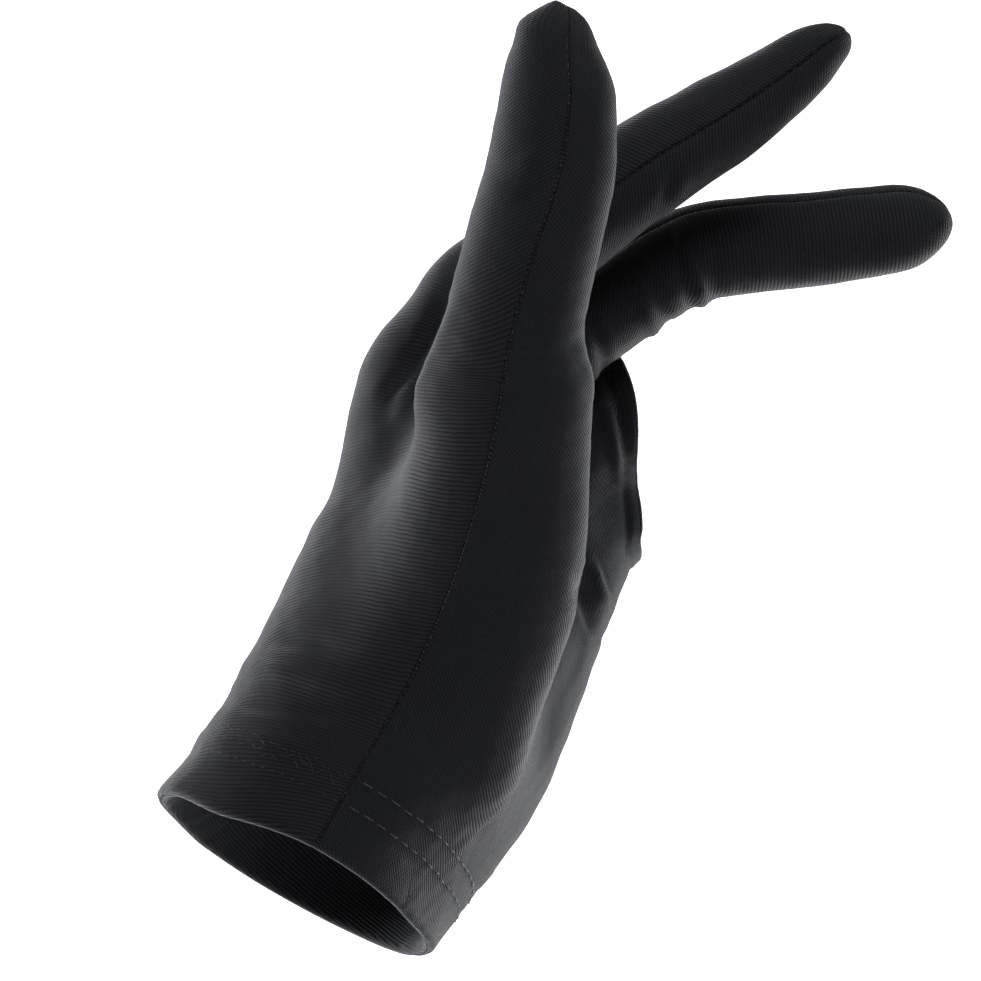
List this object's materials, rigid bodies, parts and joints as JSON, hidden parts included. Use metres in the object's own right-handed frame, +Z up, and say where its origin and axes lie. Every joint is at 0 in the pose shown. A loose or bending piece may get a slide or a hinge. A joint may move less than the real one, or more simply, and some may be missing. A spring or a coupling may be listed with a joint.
{
  "type": "billiard glove",
  "caption": "Stretch-knit billiard glove for the left hand, covering thumb, index and middle fingers, with one hemmed opening for the other fingers, in its worn shape.",
  "frame": {"origin": "middle of the wrist opening, in the plane of its edge", "axes": "+Z is up as the worn glove is held, +X is the way the index and middle fingers point, +Y is away from the viewer, from the thumb towards the little finger"},
  "size_m": [0.1486, 0.1131, 0.1755],
  "materials": {
    "back_panel_wrist": "black ribbed stretch knit with a soft sheen",
    "back_panel_hand": "black ribbed stretch knit with a soft sheen",
    "back_panel_knuckles": "black ribbed stretch knit with a soft sheen",
    "back_panel_thumb": "black ribbed stretch knit with a soft sheen",
    "back_panel_index": "black ribbed stretch knit with a soft sheen",
    "back_panel_middle": "black ribbed stretch knit with a soft sheen",
    "palm_panel_wrist": "black ribbed stretch knit with a soft sheen",
    "palm_panel_hand": "black ribbed stretch knit with a soft sheen",
    "palm_panel_knuckles": "black ribbed stretch knit with a soft sheen",
    "palm_panel_thumb": "black ribbed stretch knit with a soft sheen",
    "palm_panel_index": "black ribbed stretch knit with a soft sheen",
    "palm_panel_middle": "black ribbed stretch knit with a soft sheen",
    "cuff_hem": "black knit, turned up inside the wrist",
    "opening_hem": "black knit, turned in behind the opening's edge"
  },
  "bodies": {
    "root": {"back_panel_wrist": "back_panel_wrist", "back_panel_hand": "back_panel_hand", "back_panel_knuckles": "back_panel_knuckles", "back_panel_thumb": "back_panel_thumb", "back_panel_index": "back_panel_index", "back_panel_middle": "back_panel_middle", "palm_panel_wrist": "palm_panel_wrist", "palm_panel_hand": "palm_panel_hand", "palm_panel_knuckles": "palm_panel_knuckles", "palm_panel_thumb": "palm_panel_thumb", "palm_panel_index": "palm_panel_index", "palm_panel_middle": "palm_panel_middle", "cuff_hem": "cuff_hem", "opening_hem": "opening_hem"}
  },
  "joints": []
}
